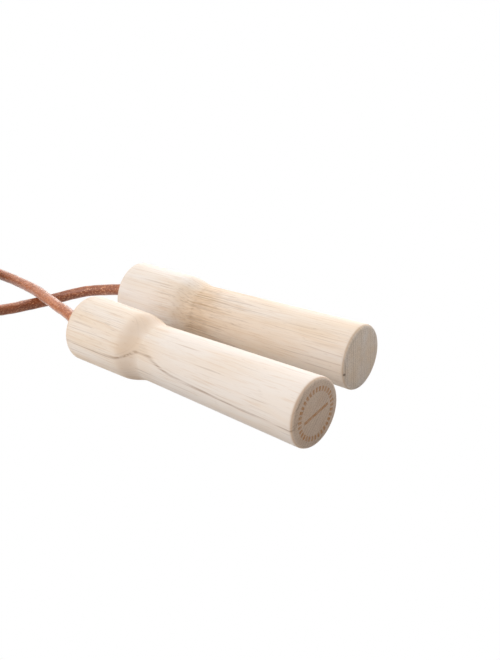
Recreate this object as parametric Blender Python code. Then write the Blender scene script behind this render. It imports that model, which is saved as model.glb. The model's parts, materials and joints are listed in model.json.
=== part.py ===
"""A jump rope: two turned wooden handles with ball-bearing swivels, and one round leather cord.

The handles lie side by side on a table, with +X from their rope ends to their butts, +Y from the
near handle to the far one and +Z up. The origin is on the table, below the middle of the handles.
Each handle has its own axis, an empty at the centre of its rope-end face. Along that axis, every
station is a distance into the handle from that face, and every turned piece is spun round it.
"""

import math

import bmesh
import bpy
import numpy as np
from mathutils import Matrix, Vector

MM = 0.001

# The wooden handle
HANDLE_LENGTH = 154.0 * MM
HEAD_DIAMETER = 36.0 * MM
HEAD_LENGTH = 37.0 * MM
SHOULDER_LENGTH = 15.6 * MM
NECK_DIAMETER = 30.2 * MM
BUTT_DIAMETER = 35.1 * MM
HEAD_EDGE = 1.6 * MM
BUTT_EDGE = 2.3 * MM

# Where each handle lies: the centre of its rope-end face, and its turn about Z in degrees
HANDLES = {
    "near": {"x": -68.82 * MM, "y": -27.10 * MM, "yaw": -1.945},
    "far": {"x": -85.15 * MM, "y": 27.10 * MM, "yaw": 1.945},
}

# The cord and the ferrule crimped on its end
CORD_DIAMETER = 6.6 * MM
FERRULE_WALL = 0.8 * MM
FERRULE_FLANGE = 1.9 * MM  # how far a flange stands out from the ferrule's barrel
FLANGE_THICKNESS = 1.2 * MM
LIP_THICKNESS = 0.6 * MM
FERRULE_TAIL = 6.5 * MM  # the crimped length behind the flange
CRIMP_DEPTH = 0.2 * MM
CRIMP_PLACES = (0.35, 0.7)  # shares of the tail's length
CORD_END_MARGIN = 2.0 * MM  # the tail reaches this far past the cord's end

# The ball bearing
INNER_RING_WALL = 2.05 * MM
OUTER_RING_WALL = 2.55 * MM
BALL_DIAMETER = 3.97 * MM
BALL_COUNT = 7
BALL_SINK = 0.535 * MM  # how deep a ball sits in each ring's groove
CAGE_WALL = 1.0 * MM
CAGE_WEB = 0.365 * MM  # the brass left beside a ball's pocket
SHIELD_THICKNESS = 0.4 * MM
SHIELD_INSET = 0.2 * MM
WASHER_THICKNESS = 0.8 * MM

# The cover pressed into the head's face, and the hollow behind the bearing
COVER_LIP = 2.5 * MM  # how far the cover's flange reaches past the bearing
COVER_THICKNESS = 1.0 * MM
COVER_SKIRT = 2.0 * MM
SKIRT_WALL = 1.2 * MM
CHAMBER_SHOULDER = 2.5 * MM  # the wooden step that the outer ring seats against
CHAMBER_MARGIN = 3.0 * MM  # free depth past the ferrule's tail

# Clearances
CORD_GAP = 0.3 * MM
SEAT_GAP = 0.1 * MM  # between pieces that are pressed together
FACE_GAP = 0.2 * MM  # between faces that rest on each other
RUN_GAP = 0.35 * MM  # between pieces that turn past each other
BALL_GAP = 0.15 * MM  # between a ball and its groove
POCKET_GAP = 0.2 * MM  # between a ball and its pocket in the cage

# The coil that the spare cord is wound into, and its tie
COIL_CENTRE = (-234.0 * MM, -30.0 * MM)
COIL_MID_DIAMETER = 68.0 * MM
COIL_COLUMNS = 3
COIL_LAYERS = 4
TIE_THICKNESS = 0.8 * MM
TIE_WIDTH = 9.0 * MM
TIE_ANGLE = 215.0  # degrees round the coil from +X

# The cord's route on the table, in millimetres: x, y, and the height of the cord's underside.
# Each list runs from where the cord leaves its handle's axis to where it lies in the coil.
ABOVE_FAR = CORD_DIAMETER / MM  # where the near stretch passes over the far one on the table
NEAR_ROUTE = (
    (-84.0, -24.8, 15.2),
    (-91.0, -21.6, 14.9),
    (-98.5, -18.4, 14.3),
    (-108.7, -14.1, 12.8),
    (-120.5, -8.8, 11.5),
    (-132.5, -3.5, ABOVE_FAR + 3.3),
    (-143.0, 1.3, ABOVE_FAR + 1.9),
    (-152.8, 5.5, ABOVE_FAR + 0.4),
    (-162.0, 9.1, 5.4),
    (-170.8, 12.4, 4.0),
    (-182.2, 16.1, 2.5),
    (-193.0, 18.7, 1.4),
    (-204.0, 20.2, 0.9),
    (-216.0, 20.5, 0.9),
    (-228.0, 18.8, 1.1),
    (-236.5, 16.4, 1.1),
    (-246.0, 12.0, 1.1),
    (-255.0, 5.0, 1.1),
)
FAR_ROUTE = (
    (-97.0, 26.8, 13.5),
    (-102.8, 26.5, 12.3),
    (-109.3, 26.2, 10.8),
    (-115.7, 25.3, 9.2),
    (-121.5, 24.1, 7.8),
    (-126.7, 21.8, 6.5),
    (-136.0, 16.4, 3.4),
    (-142.0, 10.2, 1.4),
    (-146.6, 3.3, 0.3),
    (-150.2, -4.3, 0.0),
    (-152.8, -12.0, 0.0),
    (-156.5, -20.0, 0.3),
    (-161.0, -30.0, 2.2),
    (-167.5, -40.5, 6.1),
    (-176.3, -51.2, 11.6),
    (-187.2, -60.8, 16.2),
    (-198.5, -68.0, 19.6),
    (-209.5, -72.6, 20.8),
    (-221.5, -73.6, 20.9),
    (-233.0, -71.0, 20.9),
)

# Facets round a full turn
HANDLE_FACETS = 48
RING_FACETS = 32
SMALL_FACETS = 24
COIL_FACETS = 40
SPAN_SAMPLES = 40  # points between two of a route's
RING_SPACING = 12.0 * MM  # between the cord's sections

# Sizes that follow
HEAD_RADIUS = HEAD_DIAMETER / 2
NECK_RADIUS = NECK_DIAMETER / 2
BUTT_RADIUS = BUTT_DIAMETER / 2
SHOULDER_START = HEAD_LENGTH
SHOULDER_END = HEAD_LENGTH + SHOULDER_LENGTH
# The head and the butt both touch the table, so the axis falls a little towards the thinner butt.
TILT = math.asin((HEAD_RADIUS - BUTT_RADIUS) / (HANDLE_LENGTH - BUTT_EDGE - SHOULDER_START))

CORD_RADIUS = CORD_DIAMETER / 2
STRAIGHT_RUN = 1.25 * CORD_DIAMETER  # the cord goes this far straight out of a handle
FERRULE_BORE = CORD_RADIUS + CORD_GAP
FERRULE_RADIUS = FERRULE_BORE + FERRULE_WALL
FLANGE_RADIUS = FERRULE_RADIUS + FERRULE_FLANGE
INNER_BORE = FERRULE_RADIUS + SEAT_GAP
INNER_OUTSIDE = INNER_BORE + INNER_RING_WALL
OUTER_INSIDE = INNER_OUTSIDE + BALL_DIAMETER - 2 * BALL_SINK
BEARING_RADIUS = OUTER_INSIDE + OUTER_RING_WALL
PITCH_RADIUS = (INNER_OUTSIDE + OUTER_INSIDE) / 2
GROOVE_RADIUS = BALL_DIAMETER / 2 + BALL_GAP
CAGE_HALF_WIDTH = BALL_DIAMETER / 2 + POCKET_GAP + CAGE_WEB
BEARING_WIDTH = 2 * (CAGE_HALF_WIDTH + RUN_GAP + SHIELD_THICKNESS + SHIELD_INSET)

COVER_RADIUS = BEARING_RADIUS + COVER_LIP
COVER_BORE = FLANGE_RADIUS + FACE_GAP + RUN_GAP
COVER_FRONT = FACE_GAP
SKIRT_END = COVER_FRONT + COVER_THICKNESS + COVER_SKIRT
BEARING_FRONT = SKIRT_END + FACE_GAP
BEARING_MIDDLE = BEARING_FRONT + BEARING_WIDTH / 2
BEARING_BACK = BEARING_FRONT + BEARING_WIDTH
WASHER_FRONT = BEARING_BACK + FACE_GAP
WASHER_BACK = WASHER_FRONT + WASHER_THICKNESS
FLANGE_FRONT = WASHER_BACK + FACE_GAP
FLANGE_BACK = FLANGE_FRONT + FLANGE_THICKNESS
LIP_BACK = BEARING_FRONT - FACE_GAP
LIP_FRONT = LIP_BACK - LIP_THICKNESS
FERRULE_BACK = FLANGE_BACK + FERRULE_TAIL
CRIMP_HALF_WIDTH = FERRULE_TAIL / 10
CORD_END = FERRULE_BACK - CORD_END_MARGIN
STEP_RADIUS = OUTER_INSIDE + OUTER_RING_WALL / 3  # the steps in the outer ring that seat the shields
STEP_DEPTH = SHIELD_INSET + SHIELD_THICKNESS + FACE_GAP

RECESS_RADIUS = COVER_RADIUS + FACE_GAP
RECESS_DEPTH = COVER_FRONT + COVER_THICKNESS + FACE_GAP
SEAT_RADIUS = BEARING_RADIUS + SEAT_GAP
SEAT_DEPTH = BEARING_BACK + FACE_GAP
CHAMBER_RADIUS = BEARING_RADIUS - CHAMBER_SHOULDER
CHAMBER_DEPTH = FERRULE_BACK + CHAMBER_MARGIN
HEAD_ROUND = min(HEAD_EDGE, (HEAD_RADIUS - RECESS_RADIUS) / 2)

COIL_HALF_WIDTH = COIL_COLUMNS * CORD_RADIUS
COIL_HEIGHT = COIL_LAYERS * CORD_DIAMETER
COIL_FLOOR = TIE_THICKNESS + CORD_GAP
COIL_CORNER = 0.8 * CORD_RADIUS
COIL_OUTSIDE = COIL_MID_DIAMETER / 2 + COIL_HALF_WIDTH


def material(name, colour, roughness, metallic=0.0):
    """A Principled BSDF with one colour, given in linear red, green and blue."""
    made = bpy.data.materials.new(name)
    made.use_nodes = True
    shader = made.node_tree.nodes["Principled BSDF"]
    shader.inputs["Base Color"].default_value = (*colour, 1.0)
    shader.inputs["Roughness"].default_value = roughness
    shader.inputs["Metallic"].default_value = metallic
    return made


def put(mesh, name, finish, parent=None):
    """Link a mesh as a named object, under an axis empty where one is given."""
    thing = bpy.data.objects.new(name, mesh)
    bpy.context.collection.objects.link(thing)
    thing.parent = parent
    mesh.materials.append(finish)
    mesh.shade_smooth()
    mesh.set_sharp_from_angle(angle=math.radians(35))
    return thing


def finished(shape, name):
    """Write a bmesh to a mesh, with its seams merged and its faces pointing out."""
    bmesh.ops.remove_doubles(shape, verts=shape.verts, dist=0.0005 * MM)
    bmesh.ops.recalc_face_normals(shape, faces=shape.faces)
    mesh = bpy.data.meshes.new(name)
    shape.to_mesh(mesh)
    shape.free()
    return mesh


def turned(name, outline, facets, finish, parent, closed=True):
    """Spin an outline of (station, radius) points a full turn about the handle's axis.

    A closed outline makes a ring. An open one starts and ends on the axis and makes a solid.
    """
    shape = bmesh.new()
    corners = [shape.verts.new((station, 0.0, -radius)) for station, radius in outline]
    edges = [shape.edges.new(pair) for pair in zip(corners, corners[1:])]
    if closed:
        edges.append(shape.edges.new((corners[-1], corners[0])))
    bmesh.ops.spin(
        shape, geom=corners + edges, cent=(0, 0, 0), axis=(1, 0, 0),
        angle=math.tau, steps=facets, use_merge=True,
    )
    return put(finished(shape, name), name, finish, parent)


def arc(station, radius, size, start, end, steps):
    """Points of a round of the given size about (station, radius), between two angles in degrees."""
    angles = [math.radians(start + (end - start) * step / steps) for step in range(steps + 1)]
    return [(station + size * math.cos(a), radius + size * math.sin(a)) for a in angles]


def box_outline(front, back, inside, outside):
    """A plain rectangular section between two stations and two radii."""
    return [(front, inside), (front, outside), (back, outside), (back, inside)]


def shoulder(steps=6):
    """The cosine shoulder from the neck up to the head, as outline points."""
    points = []
    for step in range(steps + 1):
        share = step / steps
        rise = (1 - math.cos(math.pi * share)) / 2
        points.append((
            SHOULDER_END + (SHOULDER_START - SHOULDER_END) * share,
            NECK_RADIUS + (HEAD_RADIUS - NECK_RADIUS) * rise,
        ))
    return points


def handle_outline():
    """From the butt's centre round the outside to the rope end, then down the bore."""
    butt_round = arc(HANDLE_LENGTH - BUTT_EDGE, BUTT_RADIUS - BUTT_EDGE, BUTT_EDGE, 0, 90, 3)
    head_round = arc(HEAD_ROUND, HEAD_RADIUS - HEAD_ROUND, HEAD_ROUND, 90, 180, 2)
    bore = [
        (0.0, RECESS_RADIUS), (RECESS_DEPTH, RECESS_RADIUS),
        (RECESS_DEPTH, SEAT_RADIUS), (SEAT_DEPTH, SEAT_RADIUS),
        (SEAT_DEPTH, CHAMBER_RADIUS), (CHAMBER_DEPTH, CHAMBER_RADIUS),
        (CHAMBER_DEPTH, 0.0),
    ]
    return [(HANDLE_LENGTH, 0.0)] + butt_round + shoulder() + head_round + bore


def cover_outline():
    """The cover's flat flange, and the skirt that goes into the bore and holds the outer ring."""
    back = COVER_FRONT + COVER_THICKNESS
    skirt = BEARING_RADIUS - SKIRT_WALL
    return [
        (COVER_FRONT, COVER_BORE), (COVER_FRONT, COVER_RADIUS), (back, COVER_RADIUS),
        (back, BEARING_RADIUS), (SKIRT_END, BEARING_RADIUS), (SKIRT_END, skirt),
        (back, skirt), (back, COVER_BORE),
    ]


def groove(land, side):
    """The ball groove cut into a ring's land: side is 1 in the outer ring and -1 in the inner."""
    reach = math.degrees(math.acos(abs(land - PITCH_RADIUS) / GROOVE_RADIUS))
    return arc(BEARING_MIDDLE, PITCH_RADIUS, GROOVE_RADIUS, side * (90 + reach), side * (90 - reach), 4)


def inner_ring_outline():
    """The inner ring: its bore, then its outside with the groove."""
    return (
        [(BEARING_BACK, INNER_BORE), (BEARING_FRONT, INNER_BORE), (BEARING_FRONT, INNER_OUTSIDE)]
        + groove(INNER_OUTSIDE, -1)
        + [(BEARING_BACK, INNER_OUTSIDE)]
    )


def outer_ring_outline():
    """The outer ring, with its groove, and a step at each end that seats a shield."""
    return (
        [
            (BEARING_BACK, BEARING_RADIUS), (BEARING_FRONT, BEARING_RADIUS),
            (BEARING_FRONT, STEP_RADIUS), (BEARING_FRONT + STEP_DEPTH, STEP_RADIUS),
            (BEARING_FRONT + STEP_DEPTH, OUTER_INSIDE),
        ]
        + groove(OUTER_INSIDE, 1)
        + [
            (BEARING_BACK - STEP_DEPTH, OUTER_INSIDE),
            (BEARING_BACK - STEP_DEPTH, STEP_RADIUS), (BEARING_BACK, STEP_RADIUS),
        ]
    )


def shield_outline(front):
    """One flat shield, seated in the outer ring's step and clear of the inner ring."""
    return box_outline(
        front, front + SHIELD_THICKNESS, INNER_OUTSIDE + RUN_GAP, STEP_RADIUS - SEAT_GAP
    )


def ferrule_outline():
    """Rolled lip in front of the inner ring, barrel, flange behind the washer, crimped tail."""
    crimp = FERRULE_RADIUS - CRIMP_DEPTH
    outline = [
        (FERRULE_BACK, FERRULE_BORE), (LIP_FRONT, FERRULE_BORE), (LIP_FRONT, FLANGE_RADIUS),
        (LIP_BACK, FLANGE_RADIUS), (LIP_BACK, FERRULE_RADIUS), (FLANGE_FRONT, FERRULE_RADIUS),
        (FLANGE_FRONT, FLANGE_RADIUS), (FLANGE_BACK, FLANGE_RADIUS), (FLANGE_BACK, FERRULE_RADIUS),
    ]
    for share in CRIMP_PLACES:
        middle = FLANGE_BACK + share * FERRULE_TAIL
        outline += [
            (middle - CRIMP_HALF_WIDTH, FERRULE_RADIUS), (middle, crimp),
            (middle + CRIMP_HALF_WIDTH, FERRULE_RADIUS),
        ]
    return outline + [(FERRULE_BACK, FERRULE_RADIUS)]


def cage(name, finish, parent):
    """The ball cage: a ring with one round pocket through its wall for each ball."""
    section = box_outline(
        BEARING_MIDDLE - CAGE_HALF_WIDTH, BEARING_MIDDLE + CAGE_HALF_WIDTH,
        PITCH_RADIUS - CAGE_WALL / 2, PITCH_RADIUS + CAGE_WALL / 2,
    )
    ring = turned(name, section, RING_FACETS, finish, parent)
    shape = bmesh.new()
    for turn in ball_turns():
        place = turn @ Matrix.Translation((BEARING_MIDDLE, 0, PITCH_RADIUS))
        bmesh.ops.create_cone(
            shape, cap_ends=True, segments=12, radius1=BALL_DIAMETER / 2 + POCKET_GAP,
            radius2=BALL_DIAMETER / 2 + POCKET_GAP, depth=3 * CAGE_WALL, matrix=place,
        )
    cutter = put(finished(shape, name + "_pockets"), name + "_pockets", finish, parent)
    cutter.hide_render = True
    cutter.display_type = "WIRE"
    cut = ring.modifiers.new("pockets", "BOOLEAN")
    cut.operation = "DIFFERENCE"
    cut.solver = "EXACT"
    cut.object = cutter
    return ring


def ball_turns():
    """The turn about the handle's axis that takes the top of the pitch circle to each ball."""
    return [Matrix.Rotation(math.tau * ball / BALL_COUNT, 4, "X") for ball in range(BALL_COUNT)]


def balls(side, finish, parent):
    """The bearing's balls on their pitch circle, each an object of its own."""
    for number, turn in enumerate(ball_turns(), start=1):
        shape = bmesh.new()
        place = turn @ Matrix.Translation((BEARING_MIDDLE, 0, PITCH_RADIUS))
        bmesh.ops.create_icosphere(shape, subdivisions=2, radius=BALL_DIAMETER / 2, matrix=place)
        name = f"{side}_bearing_ball_{number}"
        put(finished(shape, name), name, finish, parent)


def handle_axis(side):
    """The empty at the centre of a handle's rope-end face, with X along the handle."""
    lie = HANDLES[side]
    height = HEAD_RADIUS * math.cos(TILT) + SHOULDER_START * math.sin(TILT)
    empty = bpy.data.objects.new(side + "_axis", None)
    empty.location = (lie["x"], lie["y"], height)
    empty.rotation_euler = (0.0, TILT, math.radians(lie["yaw"]))
    bpy.context.collection.objects.link(empty)
    return empty


def handle(side, finishes):
    """One handle with its bearing, cover and ferrule, all on the handle's own axis."""
    wood, steel, bright, brass = finishes
    axis = handle_axis(side)
    turned(side + "_handle", handle_outline(), HANDLE_FACETS, wood, axis, closed=False)
    turned(side + "_bearing_cover", cover_outline(), RING_FACETS, steel, axis)
    turned(side + "_bearing_outer_ring", outer_ring_outline(), RING_FACETS, steel, axis)
    turned(side + "_bearing_inner_ring", inner_ring_outline(), RING_FACETS, steel, axis)
    front = BEARING_FRONT + SHIELD_INSET
    back = BEARING_BACK - SHIELD_INSET - SHIELD_THICKNESS
    turned(side + "_bearing_outer_shield", shield_outline(front), RING_FACETS, bright, axis)
    turned(side + "_bearing_inner_shield", shield_outline(back), RING_FACETS, bright, axis)
    cage(side + "_bearing_cage", brass, axis)
    balls(side, bright, axis)
    washer = box_outline(WASHER_FRONT, WASHER_BACK, FERRULE_RADIUS + FACE_GAP, FLANGE_RADIUS)
    turned(side + "_thrust_washer", washer, SMALL_FACETS, brass, axis)
    turned(side + "_ferrule", ferrule_outline(), SMALL_FACETS, steel, axis)


def on_axis(side, station):
    """A point of a handle's axis, in the world."""
    lie = HANDLES[side]
    yaw = math.radians(lie["yaw"])
    height = HEAD_RADIUS * math.cos(TILT) + (SHOULDER_START - station) * math.sin(TILT)
    reach = station * math.cos(TILT)
    return (lie["x"] + reach * math.cos(yaw), lie["y"] + reach * math.sin(yaw), height)


def smooth(points):
    """The Catmull-Rom curve through the given points, finely sampled."""
    knots = np.array(points)
    ends = np.vstack([2 * knots[0] - knots[1], knots, 2 * knots[-1] - knots[-2]])
    share = np.linspace(0, 1, SPAN_SAMPLES, endpoint=False)[:, None]
    pieces = []
    for a, b, c, d in zip(ends, ends[1:], ends[2:], ends[3:]):
        pieces.append(0.5 * (
            2 * b + (c - a) * share + (2 * a - 5 * b + 4 * c - d) * share**2
            + (3 * b - a - 3 * c + d) * share**3
        ))
    return np.vstack(pieces + [knots[-1:]])


def outside_coil(curve):
    """The curve up to where the cord round it comes up against the coil."""
    reach = np.hypot(curve[:, 0] - COIL_CENTRE[0], curve[:, 1] - COIL_CENTRE[1])
    return curve[: np.argmax(reach < COIL_OUTSIDE + CORD_GAP + CORD_RADIUS)]


def even(curve, spacing):
    """Points at an even spacing along a curve, its two ends among them."""
    along = np.concatenate([[0], np.cumsum(np.linalg.norm(np.diff(curve, axis=0), axis=1))])
    stops = np.linspace(0, along[-1], round(along[-1] / spacing) + 1)
    return np.column_stack([np.interp(stops, along, curve[:, k]) for k in range(3)])


def cord(name, side, route, finish):
    """One stretch of the cord: from the ferrule straight out of the handle, then along the route."""
    inside = [on_axis(side, station) for station in (CORD_END, 0.0, -STRAIGHT_RUN)]
    outside = [(x * MM, y * MM, under * MM + CORD_RADIUS) for x, y, under in route]
    curve = bpy.data.curves.new(name, "CURVE")
    curve.dimensions = "3D"
    curve.bevel_depth = CORD_RADIUS
    curve.bevel_resolution = 2
    curve.use_fill_caps = True
    points = even(outside_coil(smooth(inside + outside)), RING_SPACING)
    spline = curve.splines.new("POLY")
    spline.points.add(len(points) - 1)
    for point, place in zip(spline.points, points):
        point.co = (*place, 1.0)
    curve.materials.append(finish)
    bpy.context.collection.objects.link(bpy.data.objects.new(name, curve))


def coil_section(grow, steps=2):
    """The coil's rounded section as (distance from the coil's axis, height), grown outwards."""
    middle = COIL_MID_DIAMETER / 2
    corner = COIL_CORNER + grow
    across = COIL_HALF_WIDTH - COIL_CORNER
    low = COIL_FLOOR + COIL_CORNER
    high = COIL_FLOOR + COIL_HEIGHT - COIL_CORNER
    points = []
    for quarter, (side, height) in enumerate(((1, high), (-1, high), (-1, low), (1, low))):
        for x, z in arc(side * across, height, corner, 90 * quarter, 90 * quarter + 90, steps):
            points.append((middle + x, z))
    return points


def coil(finish):
    """The closed outer shape of the wound coil, standing on its tie."""
    shape = bmesh.new()
    corners = [shape.verts.new((x, 0.0, z)) for x, z in coil_section(0.0)]
    edges = [shape.edges.new(pair) for pair in zip(corners, corners[1:] + corners[:1])]
    bmesh.ops.spin(
        shape, geom=corners + edges, cent=(0, 0, 0), axis=(0, 0, 1),
        angle=math.tau, steps=COIL_FACETS, use_merge=True,
    )
    thing = put(finished(shape, "cord_coil"), "cord_coil", finish)
    thing.location = (*COIL_CENTRE, 0.0)


def tie(finish):
    """A strap round the coil's section, curved with the coil over its own width."""
    inner = coil_section(CORD_GAP)
    outer = coil_section(CORD_GAP + TIE_THICKNESS)
    half = TIE_WIDTH / COIL_MID_DIAMETER
    shape = bmesh.new()
    rows = []
    for share in (-1.0, -1 / 3, 1 / 3, 1.0):
        turn = Matrix.Rotation(math.radians(TIE_ANGLE) + share * half, 4, "Z")
        rows.append([
            [shape.verts.new(turn @ Vector((x, 0.0, z))) for x, z in loop] for loop in (inner, outer)
        ])
    count = len(inner)
    for row, after in zip(rows, rows[1:]):
        for loop, following in zip(row, after):
            for i in range(count):
                j = (i + 1) % count
                shape.faces.new((loop[i], loop[j], following[j], following[i]))
    for inside, outside in (rows[0], rows[-1]):
        for i in range(count):
            j = (i + 1) % count
            shape.faces.new((inside[i], inside[j], outside[j], outside[i]))
    thing = put(finished(shape, "coil_tie"), "coil_tie", finish)
    thing.location = (*COIL_CENTRE, 0.0)


def main():
    for thing in list(bpy.data.objects):
        bpy.data.objects.remove(thing, do_unlink=True)
    finishes = (
        material("maple", (0.78, 0.62, 0.42), 0.55),
        material("bearing_steel", (0.55, 0.56, 0.58), 0.3, 1.0),
        material("polished_steel", (0.72, 0.73, 0.75), 0.15, 1.0),
        material("brass", (0.70, 0.50, 0.20), 0.35, 1.0),
    )
    leather = material("leather", (0.32, 0.12, 0.05), 0.7)
    for side in HANDLES:
        handle(side, finishes)
    cord("near_cord", "near", NEAR_ROUTE, leather)
    cord("far_cord", "far", FAR_ROUTE, leather)
    coil(leather)
    tie(material("strap", (0.03, 0.03, 0.03), 0.8))


main()
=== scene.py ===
"""The looks of a jump rope: turned maple handles, a round leather cord, and ball-bearing swivels.

Each handle has its own axis, from the rope-end face to the butt. A station is a distance along it
from that face, and a turned piece is an outline of (station, radius) points carried round it.
"""

import json
import math
from functools import partial

import bpy
import numpy as np
from bpy.props import FloatProperty, FloatVectorProperty, IntProperty, PointerProperty
from bpy.types import Operator, Panel, PropertyGroup
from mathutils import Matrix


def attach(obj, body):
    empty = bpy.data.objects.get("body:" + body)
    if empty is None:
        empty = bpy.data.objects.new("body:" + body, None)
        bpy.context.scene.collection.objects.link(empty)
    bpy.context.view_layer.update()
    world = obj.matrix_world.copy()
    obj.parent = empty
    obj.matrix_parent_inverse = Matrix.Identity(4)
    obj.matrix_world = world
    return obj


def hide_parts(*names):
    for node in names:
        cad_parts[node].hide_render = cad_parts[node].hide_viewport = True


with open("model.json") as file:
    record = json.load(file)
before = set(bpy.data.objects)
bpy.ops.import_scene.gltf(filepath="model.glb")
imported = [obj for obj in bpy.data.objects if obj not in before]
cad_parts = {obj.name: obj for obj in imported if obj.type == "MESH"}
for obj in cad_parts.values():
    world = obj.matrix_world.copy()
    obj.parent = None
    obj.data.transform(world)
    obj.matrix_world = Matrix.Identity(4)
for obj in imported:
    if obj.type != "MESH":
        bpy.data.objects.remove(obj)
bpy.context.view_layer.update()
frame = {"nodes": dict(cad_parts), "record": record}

bl_info = {
    "name": "Jump Rope",
    "version": (1, 0, 0),
    "blender": (4, 5, 0),
    "location": "3D View > Sidebar > Jump Rope",
    "description": "Builds a leather and maple jump rope with ball-bearing handles",
    "category": "Add Mesh",
}

MM = 0.001
SIDES = ("near", "far")

# Mix nodes name their colour sockets alike, so they are reached by number.
MIX_FACTOR, MIX_A, MIX_B, MIX_OUT = 0, 6, 7, 2
ALL = slice(None)

# The swivel in each head: the same sizes as the solids it stands for
BALL_COUNT = 7
BALL_RADIUS = 1.985 * MM
GROOVE_RADIUS = 2.135 * MM
FERRULE_BORE = 3.6 * MM
FERRULE_RADIUS = 4.4 * MM
FLANGE_RADIUS = 6.3 * MM
INNER_BORE = 4.5 * MM
INNER_OUTSIDE = 6.55 * MM
OUTER_INSIDE = 9.45 * MM
SHIELD_SEAT = 10.3 * MM
BEARING_RADIUS = 12.0 * MM
PITCH_RADIUS = 8.0 * MM
COVER_BORE = 6.85 * MM
COVER_RADIUS = 14.5 * MM
RECESS_RADIUS = 14.7 * MM
CHAMBER_RADIUS = 9.5 * MM
COVER_FRONT = 0.2 * MM
COVER_BACK = 1.2 * MM
SKIRT_END = 3.2 * MM
SKIRT_INSIDE = 10.8 * MM
RECESS_DEPTH = 1.4 * MM
LIP_FRONT = 2.6 * MM
LIP_BACK = 3.2 * MM
BEARING_FRONT = 3.4 * MM
BEARING_BACK = 10.4 * MM
BEARING_MIDDLE = 6.9 * MM
SEAT_DEPTH = 10.6 * MM
WASHER_BACK = 11.4 * MM
FLANGE_FRONT = 11.6 * MM
FLANGE_BACK = 12.8 * MM
FERRULE_BACK = 19.3 * MM
CHAMBER_DEPTH = 22.3 * MM
CORD_END = 17.3 * MM
CORD_LEAD = 1.25  # how many diameters the cord runs straight on outside the head
SHIELD_THICKNESS = 0.4 * MM
SHIELD_INSET = 0.2 * MM
SHIELD_STEP = 0.8 * MM
CRIMP_PLACES = (0.35, 0.7)  # shares of the ferrule's tail
CRIMP_HALF_WIDTH = 0.65 * MM
CRIMP_DEPTH = 0.2 * MM
FIT_GAP = 0.1 * MM  # round pieces that are pressed in
RUN_GAP = 0.2 * MM  # round the washer
SHIELD_CLEARANCE = 0.35 * MM  # from the inner ring

# How many sides each kind of turned piece has
HANDLE_SIDES, RING_SIDES, STUD_SIDES, BALL_SIDES = 160, 96, 40, 32

# Where the spare cord is wound, and the strap round it
COIL_CENTRE = np.array((-234.0, -30.0)) * MM
COIL_FLOOR = 1.1 * MM
TIE_THICKNESS = 0.8 * MM
TIE_WIDTH = 9.0 * MM
TIE_ANGLE = 215.0
TIE_GAP = 0.3 * MM
STUD_RADIUS = 3.0 * MM
STUD_HEIGHT = 1.05 * MM
STUD_RIM = 0.25 * MM

# The cord's route on the table, in millimetres: x, y, and the height of the cord's underside.
# Each list runs from where the cord leaves its handle's axis to where it lies in the coil.
NEAR_ROUTE = (
    (-84.0, -24.8, 15.2), (-91.0, -21.6, 14.9), (-98.5, -18.4, 14.3), (-108.7, -14.1, 12.8),
    (-120.5, -8.8, 11.5), (-132.5, -3.5, 9.9), (-143.0, 1.3, 8.5), (-152.8, 5.5, 7.0),
    (-162.0, 9.1, 5.4), (-170.8, 12.4, 4.0), (-182.2, 16.1, 2.5), (-193.0, 18.7, 1.4),
    (-204.0, 20.2, 0.9), (-216.0, 20.5, 0.9), (-228.0, 18.8, 1.1), (-236.5, 16.4, 1.1),
    (-246.0, 12.0, 1.1), (-255.0, 5.0, 1.1),
)
FAR_ROUTE = (
    (-97.0, 26.8, 13.5), (-102.8, 26.5, 12.3), (-109.3, 26.2, 10.8), (-115.7, 25.3, 9.2),
    (-121.5, 24.1, 7.8), (-126.7, 21.8, 6.5), (-136.0, 16.4, 3.4), (-142.0, 10.2, 1.4),
    (-146.6, 3.3, 0.3), (-150.2, -4.3, 0.0), (-152.8, -12.0, 0.0), (-156.5, -20.0, 0.3),
    (-161.0, -30.0, 2.2), (-167.5, -40.5, 6.1), (-176.3, -51.2, 11.6), (-187.2, -60.8, 16.2),
    (-198.5, -68.0, 19.6), (-209.5, -72.6, 20.8), (-221.5, -73.6, 20.9), (-233.0, -71.0, 20.9),
)

# Painted light: within this reach of the cord's far end lies a paler stretch that lifts the shade
# on the far cord
PAINTED_STRETCH_REACH = 160.0 * MM  # how far in from its far end the cord's tone changes

# The coil runs anticlockwise from COIL_START to COIL_STOP, in degrees, and steps to its next place
# once a turn, where it passes COIL_STEP: it climbs over COIL_CLIMB degrees, then shifts over
# COIL_SHIFT.
COIL_START = 152.0
COIL_STOP = 248.0 + 11 * 360
COIL_STEP = 380.0
COIL_CLIMB = 50.0
COIL_SHIFT = 60.0
COIL_SPACING = 12.0  # between its points
# Columns count outwards and layers upwards.
COIL_PLACES = (
    (2, 0), (1, 0), (0, 0), (0, 1), (1, 1), (2, 1), (2, 2), (1, 2), (0, 2), (0, 3), (1, 3), (2, 3),
)

# The plain mark burnt into the near butt: ticks round a ring, and a bar across its middle
MARK_RADIUS = 12.3 * MM
MARK_TICKS = 32
MARK_TURN = 12.0
MARK_FROM = 100.0 * MM  # the mark is only on wood past this station
SWIRL_STEP = 2.5 * MM  # the swirl in the grain lies this far past the neck
# The wood's growth layers, how far they wander, and its one mineral line
LAYER_THICKNESS = 1.9 * MM
LAYER_WANDER = 0.9 * MM
MINERAL_PLACE = 0.45 * MM
MINERAL_HALF_WIDTH = 0.75 * MM
# The far handle's stock lies beside the near one's, so that their grain differs.
STOCK_STEP = 0.3
PIN_KNOT = (153.5 * MM, -16.3 * MM, STOCK_STEP - 3.5 * MM)

# Soft lights all round: azimuth and elevation in degrees, and irradiance
LIGHTS = (
    (120.0, 20.0, 1.42), (240.0, 20.0, 1.29), (60.0, 20.0, 0.52),
    (120.0, 55.0, 0.99), (240.0, 55.0, 1.54), (60.0, 55.0, 0.48),
)
LIGHT_SPREAD = 45.0

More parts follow.
